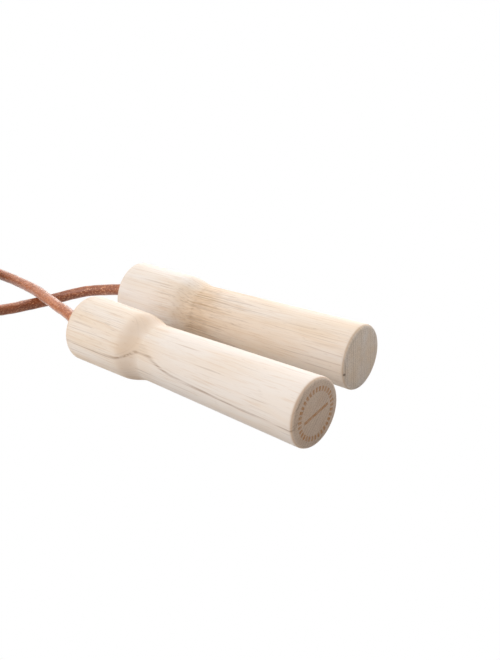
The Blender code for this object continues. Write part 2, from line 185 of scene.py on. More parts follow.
# The camera and the floor
CAMERA_PLACE = (327.7 * MM, -390.8 * MM, 247.4 * MM)
CAMERA_AZIMUTH = 38.125
CAMERA_ELEVATION = 23.5
CAMERA_LENS = 57.7
FLOOR_HALF = 6.0
FLOOR_DROP = 0.05 * MM  # below the cord and the handles


def linear(text):
    """An sRGB hex colour as linear red, green, blue and alpha."""
    values = np.array([int(text[i:i + 2], 16) for i in (1, 3, 5)]) / 255
    bent = np.where(values <= 0.04045, values / 12.92, ((values + 0.055) / 1.055) ** 2.4)
    return (*bent.tolist(), 1.0)


# ---- shapes


def handle_frame(side, length):
    """A handle's rope-end centre, and three directions as rows: along, level across, and up."""
    mounts = {mount["name"]: mount for mount in frame["record"]["mounts"]}
    butt, along = (np.array(mounts[side + "_butt_face"][key]) for key in ("pos_m", "axis"))
    along = along / np.linalg.norm(along)
    across = np.cross((0.0, 0.0, 1.0), along)
    across /= np.linalg.norm(across)
    return butt - length * along, np.vstack([along, across, np.cross(along, across)])


def set_attributes(mesh, attributes):
    """Write vector attributes, one vector a vertex, into a mesh."""
    for title, values in attributes.items():
        layer = mesh.attributes.get(title) or mesh.attributes.new(title, "FLOAT_VECTOR", "POINT")
        layer.data.foreach_set("vector", np.asarray(values, np.float32).ravel())


def mesh_from(name, points, corners, sizes, attributes=None):
    """A mesh from points, the faces' corners end to end, and each face's number of corners."""
    mesh = bpy.data.meshes.new(name)
    mesh.vertices.add(len(points))
    mesh.vertices.foreach_set("co", np.asarray(points, np.float32).ravel())
    mesh.loops.add(len(corners))
    mesh.loops.foreach_set("vertex_index", np.asarray(corners, np.int32))
    mesh.polygons.add(len(sizes))
    starts = np.concatenate([[0], np.cumsum(sizes)[:-1]])
    mesh.polygons.foreach_set("loop_start", starts.astype(np.int32))
    mesh.update(calc_edges=True)
    mesh.validate()
    set_attributes(mesh, attributes or {})
    mesh.shade_smooth()
    mesh.set_sharp_from_angle(angle=math.radians(40))
    return mesh


def grid_faces(rows, columns, poles):
    """Corners and sizes of the quads between neighbours of a grid numbered row by row, whose rows
    are closed. With poles, one more point at each end closes the first and the last row with
    triangles; without, the last row joins the first."""
    down = np.arange(rows - 1 if poles else rows)[:, None]
    right = np.arange(columns)[None, :]
    below, beside = (down + 1) % rows, (right + 1) % columns
    quads = np.stack([
        down * columns + right, below * columns + right,
        below * columns + beside, down * columns + beside,
    ], axis=-1).reshape(-1, 4)
    corners, sizes = quads.ravel(), np.full(len(quads), 4)
    if poles:
        ring = np.arange(columns)
        after = (ring + 1) % columns
        first, last = rows * columns, rows * columns + 1
        end = (rows - 1) * columns
        caps = np.vstack([
            np.column_stack([np.full(columns, first), ring, after]),
            np.column_stack([np.full(columns, last), end + after, end + ring]),
        ])
        corners = np.concatenate([corners, caps.ravel()])
        sizes = np.concatenate([sizes, np.full(len(caps), 3)])
    return corners, sizes


def turned(name, outline, turns, place):
    """A turned ring or solid: each outline point (s, r) carried round the axis to (s, r cos a,
    r sin a) for every angle a. An outline that starts and ends on the axis is closed with poles."""
    outline = np.asarray(outline, float)
    poles = outline[0, 1] == 0.0 and outline[-1, 1] == 0.0
    body = outline[1:-1] if poles else outline
    angles = np.arange(turns) * math.tau / turns
    station, radius = body[:, 0, None], body[:, 1, None]
    local = np.stack([
        np.broadcast_to(station, (len(body), turns)), radius * np.cos(angles),
        radius * np.sin(angles),
    ], axis=-1).reshape(-1, 3)
    if poles:
        ends = np.array([(outline[0, 0], 0.0, 0.0), (outline[-1, 0], 0.0, 0.0)])
        local = np.vstack([local, ends])
    origin, axes = place
    faces = grid_faces(len(body), turns, poles)
    return shown(name, mesh_from(name, origin + local @ axes, *faces, {"stock": local}))


def shown(name, mesh):
    """A new object for a mesh, at the origin."""
    thing = bpy.data.objects.new(name, mesh)
    bpy.context.scene.collection.objects.link(thing)
    return thing


def eased(outline, size):
    """Round a closed outline's corners: each becomes a parabola between points `size` to either
    side of it, or less where its sides are short."""
    outline = np.asarray(outline, float)
    share = np.linspace(0, 1, 4)[None, :, None]
    limits = []
    for shift in (1, -1):
        way = np.roll(outline, shift, axis=0) - outline
        length = np.linalg.norm(way, axis=1, keepdims=True)
        limits.append(outline + way * np.minimum(size, 0.4 * length) / length)
    start, end = limits
    rounded = (
        (1 - share) ** 2 * start[:, None] + 2 * share * (1 - share) * outline[:, None]
        + share ** 2 * end[:, None]
    )
    return rounded.reshape(-1, 2)


def arc(station, radius, size, start, end, steps):
    """Points of a circle of that size about (station, radius), between two angles in degrees."""
    angles = np.radians(np.linspace(start, end, steps + 1))
    return np.column_stack([station + size * np.cos(angles), radius + size * np.sin(angles)])


def box_outline(front, back, inside, outside):
    """A plain rectangular section between two stations and two radii."""
    return np.array([(front, inside), (front, outside), (back, outside), (back, inside)])


def smooth(points, steps):
    """The Catmull-Rom curve through the points, with `steps` samples to each span."""
    knots = np.asarray(points, float)
    ends = np.vstack([2 * knots[0] - knots[1], knots, 2 * knots[-1] - knots[-2]])
    a, b, c, d = (ends[i:len(ends) - 3 + i, None, :] for i in range(4))
    t = np.linspace(0, 1, steps, endpoint=False)[None, :, None]
    curve = 0.5 * (
        2 * b + (c - a) * t + (2 * a - 5 * b + 4 * c - d) * t ** 2
        + (3 * b - a - 3 * c + d) * t ** 3
    )
    return np.vstack([curve.reshape(-1, 3), knots[-1:]])


def even(curve, spacing):
    """Points at an even spacing along a curve, its two ends among them."""
    along = np.concatenate([[0], np.cumsum(np.linalg.norm(np.diff(curve, axis=0), axis=1))])
    stops = np.linspace(0, along[-1], round(along[-1] / spacing) + 1)
    return np.column_stack([np.interp(stops, along, curve[:, k]) for k in range(3)]), stops


def level_frames(path):
    """Two directions across a path at each point: one level, and one up from the path."""
    along = np.gradient(path, axis=0)
    along /= np.linalg.norm(along, axis=1, keepdims=True)
    level = np.cross((0.0, 0.0, 1.0), along)
    level /= np.linalg.norm(level, axis=1, keepdims=True)
    return level, np.cross(along, level)


# ---- materials


def add_node(tree, kind, inputs=None, out=0, **settings):
    """Add a shader node, set its settings, and give each input a value or a link. It returns the
    output of that number or name, or every output for ALL."""
    made = tree.nodes.new("ShaderNode" + kind)
    for name, value in settings.items():
        setattr(made, name, value)
    for name, value in (inputs or {}).items():
        socket = made.inputs[name]
        if isinstance(value, bpy.types.NodeSocket):
            tree.links.new(value, socket)
        else:
            socket.default_value = value
    return made.outputs[out]


def new_finish(name, **values):
    """A new material, its node tree, what adds a node to that, and its Principled BSDF, whose plain
    values are given by socket name."""
    made = bpy.data.materials.new(name)
    made.use_nodes = True
    tree = made.node_tree
    shader = tree.nodes["Principled BSDF"]
    for title, value in values.items():
        shader.inputs[title.replace("_", " ").title().replace("Ior", "IOR")].default_value = value
    return made, tree, partial(add_node, tree), shader


def sanded_maple(name, colours, marked):
    """Hard maple, turned and fine-sanded with no finish: matt and cream, with fine pale-brown fibre
    streaks along the grain, thin growth lines, and end grain where the fibres are cut across. A
    marked one has a plain ring of ticks and a bar burnt into its butt."""
    made, tree, add, shader = new_finish(name, roughness=0.6, ior=1.5, specular_ior_level=0.3)
    stock, grain, board = (
        add("Attribute", out="Vector", attribute_name=title)
        for title in ("stock", "grain", "board")
    )
    cut, depth, across = add("SeparateXYZ", {0: grain}, ALL)
    # The board's warmth is partly painted light: painted shade at the neck, a darker near head and
    # a paler far head
    warmth_and_painted_light, liveliness, end_tint = add("SeparateXYZ", {0: board}, ALL)

    # Each pattern's length along the grain and width across it, in millimetres. The fibres are
    # drawn about twice as coarse as real ones, so that they show.
    noises = {}
    for title, long, wide, detail in (
        ("fibres", 22.0, 0.8, 3.0), ("veins", 60.0, 1.1, 1.0), ("pores", 5.0, 0.45, 1.0),
        ("patches", 60.0, 9.0, 2.0), ("wander", 45.0, 11.0, 1.0),
    ):
        scale = (1 / (long * MM), 1 / (wide * MM), 1 / (wide * MM))
        lying = add("Mapping", {"Vector": stock, "Scale": scale})
        noises[title] = add("TexNoise", {"Vector": lying, "Scale": 1.0, "Detail": detail})

    # Each growth layer ends in a thin line, some stronger than others, and the lines fade where the
    # layers lie along the surface
    place = add(
        "Math", {0: noises["wander"], 1: LAYER_WANDER, 2: depth}, operation="MULTIPLY_ADD",
    )
    count = add("Math", {0: place, 1: LAYER_THICKNESS}, operation="DIVIDE")
    number = add("Math", {0: count}, operation="FLOOR")
    strength = add("TexWhiteNoise", {"W": number}, noise_dimensions="1D")
    edge = add("Math", {0: count}, operation="FRACT")
    edge = add("Math", {0: edge, 1: 6.0}, operation="POWER")
    beside = add("MapRange", {
        "Value": add("Math", {0: across}, operation="ABSOLUTE"),
        "From Min": 4.0 * MM, "From Max": 10.0 * MM,
    })
    beside = add("Math", {0: beside, 1: cut}, operation="MAXIMUM")
    # The mineral line lies where the depth is MINERAL_PLACE, on one side of the handle only
    off = add("Math", {0: place, 1: MINERAL_PLACE}, operation="SUBTRACT")
    off = add("Math", {0: off}, operation="ABSOLUTE")
    mineral = add("MapRange", {
        "Value": off, "From Max": MINERAL_HALF_WIDTH, "To Min": 1.0, "To Max": 0.0,
    }, interpolation_type="SMOOTHSTEP")
    fading = add("MapRange", {
        "Value": across, "From Min": -3.0 * MM, "From Max": 0.0, "To Min": 1.0, "To Max": 0.0,
    })
    broken = add("MapRange", {
        "Value": noises["fibres"], "From Min": 0.38, "From Max": 0.6, "To Min": 0.15, "To Max": 1.0,
    })
    # A pin knot, 1.4 mm across
    knot = add("VectorMath", {0: stock, 1: PIN_KNOT}, "Value", operation="DISTANCE")
    knot = add("MapRange", {
        "Value": knot, "From Min": 0.4 * MM, "From Max": 1.0 * MM, "To Min": 1.0, "To Max": 0.0,
    })

    # The streaks are as strong as the board's, and fade where the fibres are cut across
    sloping = add("Math", {0: cut, 1: 0.5}, operation="POWER")
    fade = add("Math", {0: sloping, 1: -0.13, 2: liveliness}, operation="MULTIPLY_ADD")
    uncut = add("Math", {0: 1.0, 1: cut}, operation="SUBTRACT")
    lively = {
        title: add("Math", {0: noises[title], 1: 0.5, 2: fade}, operation="MULTIPLY_ADD")
        for title in ("fibres", "veins", "pores")
    }
    tone = add("MapRange", {
        "Value": noises["patches"], "From Min": 0.3, "From Max": 0.7, "To Max": 0.8,
    })
    # The board's warmth, added to the wood's own warm patches, is partly painted light
    tone = add("Math", {0: tone, 1: warmth_and_painted_light})
    growth = (edge, strength, beside)
    base = colours["wood_pale"]
    # The product of the factors, from low to high, brings in up to that share of the colour. The
    # rounded rims are burnished: they lie where the fibres are half cut across.
    for factors, low, high, share, colour in (
        ((tone,), 0.0, 1.0, 1.0, "wood_warm"),
        ((lively["fibres"],), 0.25, 0.42, 0.55, "wood_streak"),
        ((lively["veins"],), 0.31, 0.37, 0.28, "wood_line"),
        ((lively["pores"],), 0.32, 0.38, 0.2, "wood_line"),
        (growth, 0.0, 1.0, 0.15, "wood_line"),
        ((noises["pores"], sloping), 0.46, 0.62, 0.3, "wood_line"),
        ((*growth, cut), 0.0, 1.0, 0.6, "wood_line"),
        ((cut, uncut), 0.2, 0.25, 0.45, "wood_streak"),
        ((mineral, fading, broken), 0.0, 1.0, 0.62, "wood_line"),
        ((knot,), 0.0, 1.0, 0.8, "wood_knot"),
    ):
        amount = factors[0]
        for other in factors[1:]:
            amount = add("Math", {0: amount, 1: other}, operation="MULTIPLY")
        amount = add("MapRange", {
            "Value": amount, "From Min": low, "From Max": high, "To Max": share,
        })
        base = add("Mix", {MIX_FACTOR: amount, MIX_A: base, MIX_B: colours[colour]},
                   MIX_OUT, data_type="RGBA")
    tint = add("Math", {0: sloping, 1: end_tint}, operation="MULTIPLY")
    base = add("Mix", {MIX_FACTOR: tint, MIX_A: base, MIX_B: colours["wood_end"]},
               MIX_OUT, data_type="RGBA", blend_type="MULTIPLY")

    if marked:
        station, level, up = add("SeparateXYZ", {0: stock}, ALL)
        flat = add("CombineXYZ", {"Y": level, "Z": up})
        out = add("VectorMath", {0: flat}, "Value", operation="LENGTH")
        turn = add("Math", {0: up, 1: level}, operation="ARCTAN2")
        turned_flat = add("Mapping", {
            "Vector": flat, "Rotation": (-math.radians(MARK_TURN), 0.0, 0.0),
        })
        _, along_bar, across_bar = add("SeparateXYZ", {0: turned_flat}, ALL)
        tick = add("Math", {0: turn, 1: MARK_TICKS / math.tau}, operation="MULTIPLY")
        tick = add("Math", {0: tick, 1: 0.5}, operation="PINGPONG")
        from_ring = add("Math", {0: out, 1: MARK_RADIUS}, operation="SUBTRACT")
        parts = []
        for value, low, high in (
            (from_ring, 1.1, 1.4), (tick, 250.0, 380.0),
            (along_bar, 9.0, 9.5), (across_bar, 0.65, 1.0),
        ):
            size = add("Math", {0: value}, operation="ABSOLUTE")
            parts.append(add("MapRange", {
                "Value": size, "From Min": low * MM, "From Max": high * MM,
                "To Min": 1.0, "To Max": 0.0,
            }))
        ring, bar = (
            add("Math", {0: one, 1: other}, operation="MULTIPLY")
            for one, other in (parts[:2], parts[2:])
        )
        burnt = add("Math", {0: ring, 1: bar}, operation="MAXIMUM")
        on_butt = add("Math", {0: station, 1: MARK_FROM}, operation="GREATER_THAN")
        burnt = add("Math", {0: burnt, 1: on_butt}, operation="MULTIPLY")
        uneven = add("MapRange", {
            "Value": add("TexNoise", {"Vector": stock, "Scale": 700.0}),
            "From Min": 0.35, "From Max": 0.65, "To Min": 0.5, "To Max": 1.0,
        })
        burnt = add("Math", {0: burnt, 1: uneven}, operation="MULTIPLY")
        base = add("Mix", {MIX_FACTOR: burnt, MIX_A: base, MIX_B: colours["burn"]},
                   MIX_OUT, data_type="RGBA")
    tree.links.new(base, shader.inputs["Base Color"])
    bump = add("Bump", {"Height": noises["fibres"], "Strength": 0.15, "Distance": 0.05 * MM})
    tree.links.new(bump, shader.inputs["Normal"])
    return made


def tanned_leather(colours):
    """Round-cut vegetable-tanned leather with a rough nap: matt chestnut tan, mottled with paler
    scuffed fibres about 1 mm across, and darker pits. Over the leather's blotches lies painted
    light along the cord: paler towards the near end, darker towards the far one, and a paler
    stretch a little way in from the far end that lifts the shade there."""
    made, tree, add, shader = new_finish(
        "tanned_leather", roughness=0.42, ior=1.5, specular_ior_level=0.45, sheen_weight=0.8,
        sheen_roughness=0.25,
    )
    lie = add("Attribute", out="Vector", attribute_name="lie")
    # Each pattern's cells to the metre, across the cord and along it
    placed = {
        title: add("Mapping", {"Vector": lie, "Scale": (across, across, along)})
        for title, across, along in (
            ("fibres", 1000.0, 700.0), ("pits", 1100.0, 800.0), ("blotches", 90.0, 50.0),
        )
    }
    fibres = add("TexNoise", {
        "Vector": placed["fibres"], "Scale": 1.0, "Detail": 5.0, "Roughness": 0.65,
    })
    pits = add("TexVoronoi", {"Vector": placed["pits"], "Scale": 1.0, "Randomness": 1.0})
    blotches = add("TexNoise", {"Vector": placed["blotches"], "Scale": 1.0, "Detail": 2.0})
    # Painted light along the cord, added to the tone of the blotches
    cord_painted_light = add("Attribute", out="Fac", attribute_name="hide")
    tone = add("Math", {0: blotches, 1: 1.2, 2: -0.6}, operation="MULTIPLY_ADD")
    tone = add("Math", {0: tone, 1: cord_painted_light})
    flecks = add("MapRange", {"Value": fibres, "From Min": 0.5, "From Max": 0.64, "To Max": 0.85})
    holes = add("MapRange", {
        "Value": pits, "From Min": 0.1, "From Max": 0.32, "To Min": 0.7, "To Max": 0.0,
    })
    base = colours["leather_dark"]
    for share, colour in ((tone, "leather"), (flecks, "leather_fleck"), (holes, "leather_pit")):
        base = add("Mix", {MIX_FACTOR: share, MIX_A: base, MIX_B: colours[colour]},
                   MIX_OUT, data_type="RGBA")
    tree.links.new(base, shader.inputs["Base Color"])
    height = add("Math", {0: fibres, 1: pits})
    bump = add("Bump", {"Height": height, "Strength": 0.45, "Distance": 0.12 * MM})
    tree.links.new(bump, shader.inputs["Normal"])
    return made


def worked_metal(name, colour, roughness, pitch):
    """A turned or pressed metal: rings left by the tool, `pitch` apart round the axis, in its
    roughness and its surface, with faint handling smears."""
    made, tree, add, shader = new_finish(name, roughness=roughness, metallic=1.0, base_color=colour)
    stock = add("Attribute", out="Vector", attribute_name="stock")
    _, level, up = add("SeparateXYZ", {0: stock}, ALL)
    flat = add("CombineXYZ", {"Y": level, "Z": up})
    out = add("VectorMath", {0: flat}, "Value", operation="LENGTH")
    turns = add("Math", {0: out, 1: math.tau / pitch}, operation="MULTIPLY")
    rings = add("Math", {0: turns}, operation="SINE")
    smears = add("TexNoise", {"Vector": stock, "Scale": 350.0, "Detail": 3.0})
    rough = add("MapRange", {
        "Value": smears, "From Min": 0.3, "From Max": 0.7,
        "To Min": 0.8 * roughness, "To Max": 1.3 * roughness,
    })
    tree.links.new(rough, shader.inputs["Roughness"])
    bump = add("Bump", {"Height": rings, "Strength": 0.1, "Distance": 0.01 * MM})
    tree.links.new(bump, shader.inputs["Normal"])
    return made


def split_leather(colours):
    """Split leather, dyed dark brown through: matt, with a fine random grain 0.6 mm across."""
    made, tree, add, shader = new_finish("split_leather", roughness=0.7, ior=1.45)
    place = add("TexCoord", out="Object")
    grain = add("TexNoise", {"Vector": place, "Scale": 1600.0, "Detail": 4.0})
    tone = add("MapRange", {"Value": grain, "From Min": 0.35, "From Max": 0.65})
    base = add("Mix", {
        MIX_FACTOR: tone, MIX_A: colours["strap_dark"], MIX_B: colours["strap"],
    }, MIX_OUT, data_type="RGBA")
    tree.links.new(base, shader.inputs["Base Color"])
    bump = add("Bump", {"Height": grain, "Strength": 0.5, "Distance": 0.1 * MM})
    tree.links.new(bump, shader.inputs["Normal"])
    return made


def kept(name, build):
    """The material of that name, built once."""
    return bpy.data.materials.get(name) or build()


# Each metal's colour, its roughness, and how far apart the rings left by the tool are
METALS = {
    "nickel_plate": ("nickel", 0.28, 0.25 * MM),
    "ground_steel": ("steel", 0.2, 0.15 * MM),
    "turned_brass": ("brass", 0.32, 0.2 * MM),
}


def metal(name, colours):
    """One of the METALS."""
    colour, roughness, pitch = METALS[name]
    return kept(name, lambda: worked_metal(name, colours[colour], roughness, pitch))


def palette(context):
    """The scene's colours by name."""
    finishes = context.scene.jump_rope_finishes
    return {name: tuple(getattr(finishes, name)) for name in finishes.__annotations__}


def settle(thing, finish, body, slot, *nodes):
    """Give a piece its material and the body it rides on, and hide the solids it stands for; the
    slot is not used.
    """
    thing.data.materials.clear()
    thing.data.materials.append(finish)
    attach(thing, body)
    if nodes:
        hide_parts(*nodes)


# ---- the properties


def size_property(name, description, millimetres):
    """A length, kept in metres and shown in the scene's units."""
    return FloatProperty(
        name=name, description=description, default=millimetres * MM, min=0.0, precision=5,
        unit="LENGTH", subtype="DISTANCE",
    )


def colour_property(name, description, text):
    """A colour, given as sRGB hex."""
    return FloatVectorProperty(
        name=name, description=description, default=linear(text), size=4, min=0.0, max=1.0,
        subtype="COLOR",
    )


class JumpRopeHandleSizes(PropertyGroup):
    length: size_property("Length", "Handle from rope end to butt", 154.0)
    head_diameter: size_property("Head diameter", "The wide end that holds the bearing", 36.0)
    head_length: size_property("Head length", "Straight part of the head", 37.0)
    shoulder_length: size_property("Shoulder length", "Slope from head to neck", 15.6)
    neck_diameter: size_property("Neck diameter", "The thinnest place", 30.2)
    butt_diameter: size_property("Butt diameter", "The end away from the rope", 35.1)
    head_edge: size_property("Head edge", "Round of the rope end's rim", 1.6)
    butt_edge: size_property("Butt edge", "Round of the butt's rim", 2.3)


class JumpRopeCordSizes(PropertyGroup):
    diameter: size_property("Cord diameter", "Round leather cord", 6.6)
    coil_diameter: size_property("Coil diameter", "Across the middle of the turns", 68.0)
    unevenness: size_property("Unevenness", "How far the cut cord strays from round", 0.12)
    ring_spacing: size_property("Ring spacing", "Detail along the cord", 1.1)
    sides: IntProperty(name="Sides", description="Detail round the cord", default=28, min=8)


class JumpRopeFinishes(PropertyGroup):
    wood_pale: colour_property("Pale maple", "Wood between the streaks", "#EBE1D8")
    wood_warm: colour_property("Warm maple", "Warmer patches", "#E5D0B9")
    wood_streak: colour_property("Maple streak", "Fibre streaks", "#CBA67D")
    wood_line: colour_property("Maple line", "Growth lines", "#8C6440")
    wood_end: colour_property("End grain", "Tint where fibres are cut across", "#E9D6C3")
    wood_knot: colour_property("Knot", "Pin knot", "#5C4634")
    burn: colour_property("Burn", "The mark on the butt", "#B47C48")
    leather: colour_property("Leather", "Main tan", "#BC6E44")
    leather_dark: colour_property("Dark leather", "Darker stretches", "#7A3F25")
    leather_fleck: colour_property("Leather fleck", "Scuffed fibres", "#E0A076")
    leather_pit: colour_property("Leather pit", "Pits and pores", "#5E2E1A")
    strap: colour_property("Strap", "Strap leather", "#5A3A26")
    strap_dark: colour_property("Dark strap", "Strap grain", "#3E2617")
    nickel: colour_property("Nickel", "Cover, shields and ferrule", "#C9C6C0")
    steel: colour_property("Bearing steel", "Rings and balls", "#BFC1C4")
    brass: colour_property("Brass", "Cage, washer and stud", "#C8A24E")
    floor: colour_property("Floor", "Studio floor", "#C0C0C0")


# ---- the cord


def on_axis(side, station, length):
    """A point of a handle's axis."""
    origin, axes = handle_frame(side, length)
    return origin + station * axes[0]


def coil_points(diameter, middle):
    """The coil: points round COIL_CENTRE at an even angle. At each step the radius or the height
    eases by one cord diameter to the next of COIL_PLACES."""
    angles = np.arange(COIL_START, COIL_STOP + 1.0, COIL_SPACING)
    columns, layers = np.array(COIL_PLACES, float).T
    steps = COIL_STEP + 360.0 * np.arange(len(columns) - 1)

    def eased_sum(first, jumps, start, width):
        share = np.clip((angles[:, None] - start) / width, 0, 1)
        return first + (jumps * share ** 2 * (3 - 2 * share)).sum(axis=1)

    column = eased_sum(columns[0], np.diff(columns), steps, COIL_SHIFT)
    layer = eased_sum(layers[0], np.diff(layers), steps - COIL_CLIMB, COIL_CLIMB)
    radius = middle / 2 + (column - columns.mean()) * diameter
    turn = np.radians(angles)
    return np.column_stack([
        COIL_CENTRE[0] + radius * np.cos(turn), COIL_CENTRE[1] + radius * np.sin(turn),
        COIL_FLOOR + (layer + 0.5) * diameter,
    ])


def cord_path(sizes, length):
    """The cord's whole centreline, from inside the near ferrule round the coil to the far one."""
    radius = sizes.diameter / 2
    ends = []
    for side, route in zip(SIDES, (NEAR_ROUTE, FAR_ROUTE)):
        stations = (CORD_END, 0.0, -CORD_LEAD * sizes.diameter)
        inside = [on_axis(side, station, length) for station in stations]
        outside = np.array(route) * MM + (0.0, 0.0, radius)
        ends.append(np.vstack([inside, outside]))
    coil = coil_points(sizes.diameter, sizes.coil_diameter)
    return even(smooth(np.vstack([ends[0], coil, ends[1][::-1]]), 24), sizes.ring_spacing)


def cord_mesh(sizes, path, stops):
    """The cord: round its path, at angle a and length s, a circle whose radius strays by a sum of
    slow waves in a and s. The attribute holds each point's place in the cord pulled straight."""
    level, up = level_frames(path)
    angles = np.arange(sizes.sides) * math.tau / sizes.sides
    s, a = stops[:, None], angles[None, :]
    waves = (
        0.45 * np.sin(2 * a + 95 * s) + 0.3 * np.sin(3 * a - 210 * s + 1.3)
        + 0.3 * np.sin(a + 340 * s + 0.4) + 0.25 * np.sin(5 * a + 610 * s + 2.1)
        + 0.2 * np.sin(4 * a - 930 * s)
    )
    radius = sizes.diameter / 2 + sizes.unevenness * waves
    ring = level[:, None, :] * np.cos(a)[..., None] + up[:, None, :] * np.sin(a)[..., None]
    points = path[:, None, :] + radius[..., None] * ring
    straight = np.stack([
        radius * np.cos(a), radius * np.sin(a), np.broadcast_to(s, radius.shape),
    ], axis=-1)
    points = np.vstack([points.reshape(-1, 3), path[:1], path[-1:]])
    points[:, 2] = np.maximum(points[:, 2], 0.0)  # pressed flat where it lies on the table
    straight = np.vstack([straight.reshape(-1, 3), (0, 0, stops[0]), (0, 0, stops[-1])])
    # Painted light: the cord pales from the far end to the near one, with a paler stretch a little
    # way in from the far end that lifts the shade where it lies on the table.
    fall = np.cos(math.pi * straight[:, 2] / stops[-1])
    inward = np.minimum(stops[-1] - straight[:, 2], PAINTED_STRETCH_REACH) / PAINTED_STRETCH_REACH
    painted_lightness = 0.5 + 0.25 * fall - 0.15 * np.cos(math.tau * inward)
    return mesh_from("cord", points, *grid_faces(len(path), sizes.sides, True), {
        "lie": straight, "hide": np.repeat(painted_lightness[:, None], 3, axis=1),
    })


class JUMPROPE_OT_cord(Operator):
    """Lay the leather cord from handle to handle, its spare length wound into a coil"""

    bl_idname = "jumprope.cord"
    bl_label = "Cord"

    def execute(self, context):
        sizes = context.scene.jump_rope_cord
        length = context.scene.jump_rope_handle.length
        path, stops = cord_path(sizes, length)
        cord = shown("cord", cord_mesh(sizes, path, stops))
        colours = palette(context)
        leather = kept("tanned_leather", lambda: tanned_leather(colours))
        settle(cord, leather, "rope", "leather", "near_cord", "cord_coil", "far_cord")
        tuple(on_axis("near", 0.0, length))
        return {"FINISHED"}


# ---- the tie


def coil_section(sizes, grow):
    """The coil's rounded section as (distance from the coil's axis, height), grown outwards."""
    columns, layers = np.array(COIL_PLACES).max(axis=0) + 1
    corner = 0.8 * sizes.diameter / 2
    across = columns * sizes.diameter / 2 - corner
    low, high = COIL_FLOOR + corner, COIL_FLOOR + layers * sizes.diameter - corner
    quarters = ((1, high), (-1, high), (-1, low), (1, low))
    return np.vstack([
        arc(side * across, height, corner + grow, 90 * quarter, 90 * quarter + 90, 8)
        for quarter, (side, height) in enumerate(quarters)
    ]) + (sizes.coil_diameter / 2, 0.0)


def spun_band(name, inner, outer, half_turn, edge):
    """A closed band: the space between two loops, spun about the coil's upright axis by half_turn
    radians either way, its four long corners eased by `edge`."""
    shares = np.array([-1.0, -1.0 + edge, 1.0 - edge, 1.0])
    turns = math.radians(TIE_ANGLE) + half_turn * shares
    middle = (inner + outer) / 2
    rows = []
    for loop, order in ((outer, slice(None)), (inner, slice(None, None, -1))):
        eased_loop = loop + edge * (middle - loop)
        for share, turn in list(zip(shares, turns))[order]:
            section = eased_loop if abs(share) == 1.0 else loop
            rows.append(np.column_stack([
                section[:, 0] * math.cos(turn), section[:, 0] * math.sin(turn), section[:, 1],
            ]))
    points = np.vstack(rows) + (*COIL_CENTRE, 0.0)
    return shown(name, mesh_from(name, points, *grid_faces(len(rows), len(inner), False)))


def stud_outline():
    """The stud's head, from its flat back round a short rim to a dome, half a flattened circle."""
    share = np.radians(np.linspace(82, 0, 12))
    dome = np.column_stack([
        STUD_RIM + (STUD_HEIGHT - STUD_RIM) * np.cos(share),
        (STUD_RADIUS - 0.2 * MM) * np.sin(share),
    ])
    back = [(-FIT_GAP, 0.0), (-FIT_GAP, STUD_RADIUS - FIT_GAP), (STUD_RIM, STUD_RADIUS)]
    return np.vstack([back, dome])


class JUMPROPE_OT_tie(Operator):
    """Strap the coil with a narrow leather band closed by a brass stud"""

    bl_idname = "jumprope.tie"
    bl_label = "Tie"

    def execute(self, context):
        sizes = context.scene.jump_rope_cord
        colours = palette(context)
        inner = coil_section(sizes, TIE_GAP)
        outer = coil_section(sizes, TIE_GAP + TIE_THICKNESS)
        strap = spun_band("coil_strap", inner, outer, TIE_WIDTH / sizes.coil_diameter, 0.3)
        dyed = kept("split_leather", lambda: split_leather(colours))
        settle(strap, dyed, "rope", "strap", "coil_tie")
        turn = math.radians(TIE_ANGLE)
        out = np.array((math.cos(turn), math.sin(turn), 0.0))
        middle = np.array((*COIL_CENTRE, (outer[:, 1].min() + outer[:, 1].max()) / 2))
        origin = middle + outer[:, 0].max() * out
        axes = np.vstack([out, (-out[1], out[0], 0.0), (0.0, 0.0, 1.0)])
        stud = turned("strap_stud", stud_outline(), STUD_SIDES, (origin, axes))
        settle(stud, metal("turned_brass", colours), "rope", "brass")
        return {"FINISHED"}


# ---- the handles


def handle_outline(sizes):
    """From the butt's centre round the outside to the rope end, then down the bore. The shoulder is
    half a cosine wave from the neck's radius up to the head's."""
    head, neck, butt = sizes.head_diameter / 2, sizes.neck_diameter / 2, sizes.butt_diameter / 2
    butt_edge, head_edge = sizes.butt_edge, sizes.head_edge
    grip_end = sizes.length - butt_edge
    shoulder_end = sizes.head_length + sizes.shoulder_length
    seat = BEARING_RADIUS + FIT_GAP
    butt_face = np.column_stack([
        np.full(10, sizes.length), np.linspace(0, butt - butt_edge, 10),
    ])
    butt_round = arc(grip_end, butt - butt_edge, butt_edge, 0, 90, 10)
    share = np.linspace(0, 1, 40)
    grip = np.column_stack([
        grip_end + (shoulder_end - sizes.length + butt_edge) * share, butt + (neck - butt) * share,
    ])
    share = np.linspace(0, 1, 24)
    shoulder = np.column_stack([
        shoulder_end + (sizes.head_length - shoulder_end) * share,
        neck + (head - neck) * (1 - np.cos(math.pi * share)) / 2,
    ])
    barrel = np.column_stack([np.linspace(sizes.head_length, head_edge, 12), np.full(12, head)])
    head_round = arc(head_edge, head - head_edge, head_edge, 90, 180, 8)
    bore = np.array([
        (0.0, RECESS_RADIUS), (RECESS_DEPTH, RECESS_RADIUS), (RECESS_DEPTH, seat),
        (SEAT_DEPTH, seat), (SEAT_DEPTH, CHAMBER_RADIUS), (CHAMBER_DEPTH, CHAMBER_RADIUS),
        (CHAMBER_DEPTH, 0.0),
    ])
    outside = [part[1:] for part in (butt_round, grip, shoulder, barrel, head_round)]
    return np.vstack([butt_face, *outside, bore])
